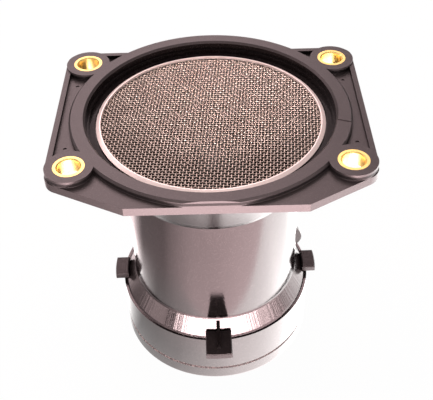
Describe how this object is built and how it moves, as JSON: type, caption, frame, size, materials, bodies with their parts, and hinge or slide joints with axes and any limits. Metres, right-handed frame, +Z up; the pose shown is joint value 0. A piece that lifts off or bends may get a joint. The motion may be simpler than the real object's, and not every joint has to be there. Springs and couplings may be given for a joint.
{
  "type": "mass airflow sensor",
  "caption": "Black moulded air duct with a flat inlet flange, brass-bushed bolt holes, a woven wire inlet screen, an outlet collar with stop tabs and a plug-in sensing module at its back.",
  "frame": {"origin": "on the duct's axis, in the plane of the outlet end that the part stands on", "axes": "+Z up the duct towards the inlet flange, -Y towards the flange's straight front edge, +Y towards the sensor module"},
  "size_m": [0.094, 0.0904, 0.0925],
  "materials": {
    "black_glass_filled_plastic": "satin moulded",
    "turned_brass": "turned, bright",
    "screen_wire": "woven wire, plain",
    "clamp_sheet": "satin sheet",
    "seal_rubber": "matt",
    "board_laminate": "lacquered laminate",
    "element_ceramic": "glazed ceramic",
    "prong_steel": "drawn wire",
    "terminal_brass": "tinned blade",
    "screw_steel": "zinc plated"
  },
  "bodies": {
    "root": {"housing": "black_glass_filled_plastic", "sensor_body": "black_glass_filled_plastic", "sensor_lid": "black_glass_filled_plastic", "bushing_front_left": "turned_brass", "bushing_front_right": "turned_brass", "bushing_back_left": "turned_brass", "bushing_back_right": "turned_brass", "inlet_screen": "screen_wire", "screen_clamp_ring": "clamp_sheet", "sensor_seal": "seal_rubber", "circuit_board": "board_laminate", "heated_element": "element_ceramic", "air_temperature_element": "element_ceramic", "element_prongs": "prong_steel", "terminal_1": "terminal_brass", "terminal_2": "terminal_brass", "terminal_3": "terminal_brass", "terminal_4": "terminal_brass", "module_screw_left": "screw_steel", "module_screw_right": "screw_steel"}
  },
  "joints": []
}
